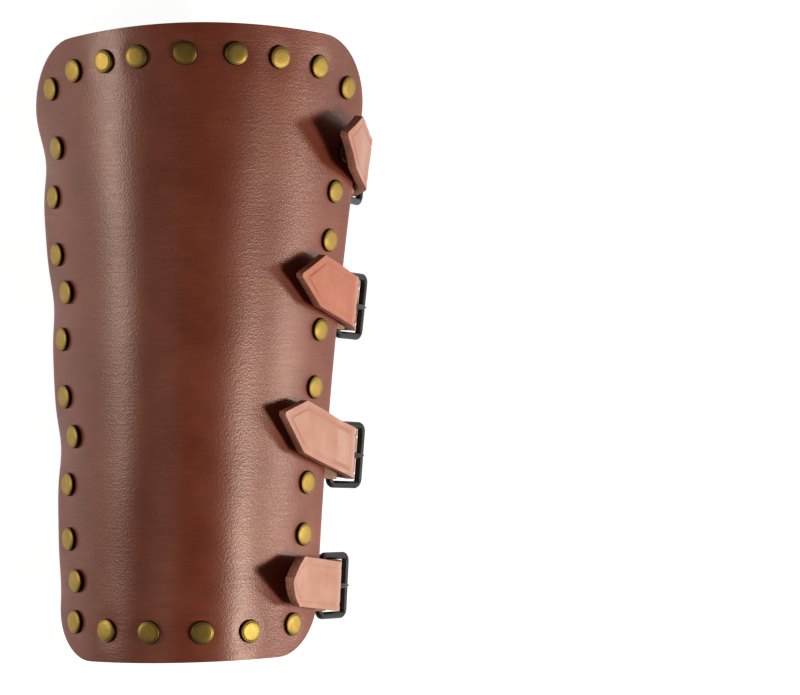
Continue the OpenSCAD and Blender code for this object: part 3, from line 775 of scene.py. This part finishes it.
straps = []
for i in STRAPS:
    strap, ribbon = make_strap(i)
    c = closures[i]
    holes = []
    for k in range(3):
        x = c.flat_x - HOLE_IN - k * HOLE_PITCH
        top, bottom = Vector((x, c.slant_y(x), STRAP_T + 1)), Vector((x, c.slant_y(x), -1))
        holes.append(rod("punch", bottom, top, HOLE_D / 2, strap_edge))
    for lift in range(0, TONGUE_LIFT + 1, SLOT_STEP):
        up = (BAR_D + TONGUE_D) / 2 + TONGUE_RISE
        low, high = [c.at(HEEL_OUT + out * cosd(lift) - up * sind(lift), 0,
                          HEEL_N + out * sind(lift) + up * cosd(lift)) for out in (1, BUCKLE_REACH + 2)]
        holes.append(rod("punch", low, high, TONGUE_D / 2 + SLOT_PLAY, strap_edge))
    punch(strap, holes)
    hinge = c.at(HINGE_S, c.sway(HINGE_S), c.ride)
    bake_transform(strap)
    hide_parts(f"strap_{i + 1}", f"strap_tip_{i + 1}")
    straps.append(strap)
    print(strap.name, "length", round(ribbon.total), "mm, faces", len(strap.data.polygons))

# %% [markdown]
# ## The buckle loops
# A buckle hangs in a loop of thinner leather, folded round its heel bar and riveted inside the shell.
# It is one strip again: in along the shell, round the bar, and back. A notch in the fold lets the
# tongue through.

# %% Loops
LOOP_STEP = 0.7
LOOP_ACROSS = 24
LOOP_ROUNDING = 0.25
LOOP_HIDE_FROM, LOOP_HIDE_STEP = 2000, 100
NOTCH_R, NOTCH_REACH = 1.5, 6
RING_R = BAR_D / 2 + PIN_PLAY + LOOP_T / 2


def loop_path(i):
    c = closures[i]
    layer = (LOOP_T + SEAT) / 2
    neck = HEEL_OUT - (BAR_D / 2 + PIN_PLAY + LOOP_T) - 1
    skew = STRAP_SLANT[i] / (neck + LOOP_RIVET_IN)
    bend = math.tan(math.radians(HANG[i] / 2))
    path = []
    for side in (1, -1):
        n = HEEL_N + side * layer
        tail = [(c.on_flank(-LOOP_TAIL, skew * (neck + LOOP_TAIL), n), c.w),
                (c.on_flank(n * bend, skew * (neck - n * bend), n), c.w),
                (c.at(neck - 0.5, 0, n), c.w)]
        path += tail if side > 0 else tail[::-1]
        if side > 0:
            path += [(c.at(HEEL_OUT + RING_R * cosd(a), 0, HEEL_N + RING_R * sind(a)), c.w)
                     for a in range(110, -111, -20)]
    return path


for i in STRAPS:
    ribbon = Ribbon(loop_path(i), LOOP_STEP, 2)
    rows = int(ribbon.total / LOOP_STEP)

    def on_loop(column, row):
        u = ribbon.total * row / rows
        w = STRAP_W / 2 * (2 * column / LOOP_ACROSS - 1)
        return ribbon.at(u, w, LOOP_T / 2), (w, u + LOOP_HIDE_FROM + LOOP_HIDE_STEP * i)

    bm = place_grid(LOOP_ACROSS, rows, on_loop)
    loop = leather(f"buckle_loop_{i + 1}_leather", bm, LOOP_T, (strap_leather, strap_edge, strap_back),
                   LOOP_ROUNDING)
    c = closures[i]
    notch = rod("punch", c.at(HEEL_OUT + 0.8, 0, HEEL_N), c.at(HEEL_OUT + NOTCH_REACH, 0, HEEL_N),
                NOTCH_R, strap_edge)
    slot_top = rod("punch", c.at(HEEL_OUT, 0, HEEL_N + 0.5), c.at(HEEL_OUT, 0, HEEL_N + NOTCH_REACH),
                   NOTCH_R, strap_edge)
    punch(loop, [notch, slot_top])
    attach(loop, "bracer")
    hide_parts(f"buckle_loop_{i + 1}")
print("loops made")

# %% [markdown]
# ## The rivet caps
# A cap is pressed from thin brass: a flat disc with a fine groove inside its rounded rim. Its outline is spun
# round the axis, and an attribute is written from how far out each vertex lies: patina in the groove, and
# painted shade on the outer rim. One cap is made, and copied to every seat measured above, so each row is one
# piece.

# %% Caps
CAP_R = 4.75
GROOVE_AT, GROOVE_WIDTH, RIM_FROM = 0.82, 0.02, 0.9
CAP_TURN, CAP_STEPS = 1.7, 40
CAP_OUTLINE = ((0, 1.42), (1.8, 1.41), (3.2, 1.36), (3.65, 1.29), (3.8, 1.2), (3.95, 1.18), (4.15, 1.17),
               (4.4, 1.02), (4.6, 0.74), (4.71, 0.42), (4.75, 0.2), (4.7, 0.02), (0, 0.02))

bm = bmesh.new()
outline = [bm.verts.new((r * MM, 0, h * MM)) for r, h in CAP_OUTLINE]
edges = [bm.edges.new(pair) for pair in zip(outline, outline[1:])]
bmesh.ops.spin(bm, geom=outline + edges, cent=(0, 0, 0), axis=(0, 0, 1), steps=CAP_STEPS,
               angle=2 * math.pi, use_merge=True)
bmesh.ops.remove_doubles(bm, verts=bm.verts, dist=0.004 * MM)
bmesh.ops.recalc_face_normals(bm, faces=bm.faces)
groove_patina_and_rim_shade_layer = bm.verts.layers.float.new("rim")
for vert in bm.verts:
    out = math.hypot(vert.co.x, vert.co.y) / (CAP_R * MM)
    groove = math.exp(-(((out - GROOVE_AT) / GROOVE_WIDTH) ** 2))
    # Patina in the groove, and painted shade on the outer rim where the cap meets the leather.
    vert[groove_patina_and_rim_shade_layer] = 0.4 * groove + 0.9 * max(0, (out - RIM_FROM) / (1 - RIM_FROM))
one_cap = bpy.data.meshes.new("one_cap")
bm.to_mesh(one_cap)
bm.free()


def make_caps(node, name):
    """A row of caps as one piece, each turned a little on its own axis."""
    bm = bmesh.new()
    for index, (seat, axis) in enumerate(rivets[node]):
        before = len(bm.verts)
        bm.from_mesh(one_cap)
        bm.verts.ensure_lookup_table()
        turn = Vector((0, 0, 1)).rotation_difference(axis).to_matrix().to_4x4()
        spin = Matrix.Rotation(index * CAP_TURN, 4, "Z")
        bmesh.ops.transform(bm, matrix=Matrix.Translation(seat) @ turn @ spin, verts=bm.verts[before:])
    mesh = bpy.data.meshes.new(name)
    bm.to_mesh(mesh)
    bm.free()
    mesh.materials.append(antique_brass)
    mesh.shade_smooth()
    piece = bpy.data.objects.new(name, mesh)
    bpy.context.scene.collection.objects.link(piece)
    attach(piece, "bracer")
    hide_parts(node)
    return piece


for node in CAP_NODES:
    made = make_caps(node, node + "_domed")
    print(made.name, "faces", len(made.data.polygons))

# %% [markdown]
# ## The buckle tongues
# A tongue is one piece of wire, hammered thin where it curls round the heel bar. It crosses the strap
# through the punched hole and rests on the end bar with a ground tip, so it is a tube whose radius
# changes on the way. Each step is out from the heel bar, up from it, and the wire's radius.

# %% Tongues
WIRE_SIDES = 14
CURL_R, CURL_WIRE = 2.21, 0.66
CURL_FROM, CURL_STEP = -60, 15
TONGUE_RUN = ((1.8, 2.4, 0.85), (3.6, 2.68, 1.1), (12, 2.72, 1.1), (15.2, 2.45, 0.8),
              (16.8, 2.12, 0.5), (17.8, 2.05, 0.42), (18.3, 2.0, 0.15))


def tube(name, c, steps):
    """A closed tube in the plane of a buckle, from steps out, up and radius."""
    bm = bmesh.new()
    rings = []
    for k, (s, n, radius) in enumerate(steps):
        s0, n0, _ = steps[max(k - 1, 0)]
        s1, n1, _ = steps[min(k + 1, len(steps) - 1)]
        way = Vector((s1 - s0, n1 - n0)).normalized()
        ring = []
        for side in range(WIRE_SIDES):
            turn = 360 * side / WIRE_SIDES
            up, across_w = radius * cosd(turn), radius * sind(turn)
            place = c.at(HEEL_OUT + s - up * way.y, across_w, HEEL_N + n + up * way.x)
            ring.append(bm.verts.new(place * MM))
        rings.append(ring)
    for a, b in zip(rings, rings[1:]):
        for side in range(WIRE_SIDES):
            after = (side + 1) % WIRE_SIDES
            bm.faces.new((a[side], a[after], b[after], b[side]))
    bm.faces.new(rings[0])
    bm.faces.new(rings[-1])
    bmesh.ops.recalc_face_normals(bm, faces=bm.faces)
    mesh = bpy.data.meshes.new(name)
    bm.to_mesh(mesh)
    bm.free()
    mesh.shade_smooth()
    mesh.materials.append(black_paint)
    made = bpy.data.objects.new(name, mesh)
    bpy.context.scene.collection.objects.link(made)
    return made


curl = [(CURL_R * cosd(turn), CURL_R * sind(turn), CURL_WIRE)
        for turn in range(CURL_FROM, -271, -CURL_STEP)]
for c in closures:
    node = f"buckle_tongue_{c.i + 1}"
    tongue = tube(f"tongue_{c.i + 1}_wire", c, curl + list(TONGUE_RUN))
    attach(tongue, node)
    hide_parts(node)
    print(tongue.name, "faces", len(tongue.data.polygons))

# %% [markdown]
# ## Metal that stays as it is
# The posts and the buckle frames already have their shape in CAD, so they only get their finish.

# %% Finish the CAD metal
for name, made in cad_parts.items():
    finish = None
    if name.endswith("_posts"):
        finish = antique_brass
    elif name.startswith("buckle_frame"):
        finish = black_paint
    if finish:
        made.data.materials.clear()
        made.data.materials.append(finish)

# %% [markdown]
# ## Floor and light
# The bracer lies on a white table among four soft boxes, and the photo tells where they are. A narrow
# sheen lies along each flank, so a box stands on either side. The left sheen fades toward the wrist
# and the right one toward the elbow, so these boxes are shifted along the arm. The strap ends throw
# long dark shadows to the left, so a third box shines in very low from the right. The crown is dark,
# so the box above is weak. The table glows to the camera and in mirrors, so that it reads as pure
# white and still takes the shadow of the bracer.

# %% Floor
FLOOR_HALF = 2.5
FLOOR_GLOW = 0.82

white_table, tree = material("white_table")
rays = add(tree, "LightPath").outputs
mirrored = add(tree, "Math", {0: rays["Is Glossy Ray"], 1: rays["Is Transmission Ray"]}, operation="MAXIMUM")
seen = add(tree, "Math", {0: rays["Is Camera Ray"], 1: mirrored.outputs[0]}, operation="MAXIMUM")
glow = add(tree, "Math", {0: seen.outputs[0], 1: FLOOR_GLOW}, operation="MULTIPLY")
surface = add(tree, "BsdfPrincipled", {
    "Base Color": colour("#E6E6E6"), "Roughness": 0.9, "Emission Color": (1, 1, 1, 1),
    "Emission Strength": glow.outputs[0]})
finish_material(tree, surface)

bm = bmesh.new()
bmesh.ops.create_grid(bm, x_segments=2, y_segments=2, size=FLOOR_HALF)
floor_mesh = bpy.data.meshes.new("floor")
bm.to_mesh(floor_mesh)
bm.free()
floor_mesh.materials.append(white_table)
floor = bpy.data.objects.new("floor", floor_mesh)
bpy.context.scene.collection.objects.link(floor)

# %% Light
ROOM_LIGHT = 0.04
BOX_AWAY, AIM_HEIGHT = 1.1, 0.05

world = bpy.data.worlds.new("studio")
bpy.context.scene.world = world
world.use_nodes = True
world.node_tree.nodes.clear()
tree = world.node_tree
seen = add(tree, "LightPath").outputs["Is Camera Ray"]
glow = add(tree, "MapRange", {"Value": seen, "To Min": ROOM_LIGHT, "To Max": 1.0})
room = add(tree, "Background", {"Color": (1, 1, 1, 1), "Strength": glow.outputs[0]})
add(tree, "OutputWorld", {"Surface": room.outputs[0]})


def soft_box(name, azimuth, y, elevation, tall, wide, power):
    """A soft box on a circle round the bracer, shifted along the arm, that faces its axis."""
    data = bpy.data.lights.new(name, "AREA")
    data.shape = "RECTANGLE"
    data.size, data.size_y, data.energy = wide, tall, power
    made = bpy.data.objects.new(name, data)
    made.location = (azimuth * BOX_AWAY * cosd(elevation), y, BOX_AWAY * sind(elevation))
    aim = Vector((0, y, AIM_HEIGHT)) - made.location
    made.rotation_euler = aim.to_track_quat("-Z", "Z").to_euler()
    bpy.context.scene.collection.objects.link(made)
    return made


soft_box("left_sheen_box", -1, 0.1, 20, 0.4, 0.22, 4.1)
soft_box("right_low_box", 1, -0.15, 4, 0.16, 0.4, 4.2)
soft_box("right_sheen_box", 1, -0.34, 34, 0.22, 0.26, 7)
soft_box("top_box", -1, -0.25, 64, 0.4, 0.6, 0.7)
bpy.context.scene.view_settings.view_transform = "Standard"
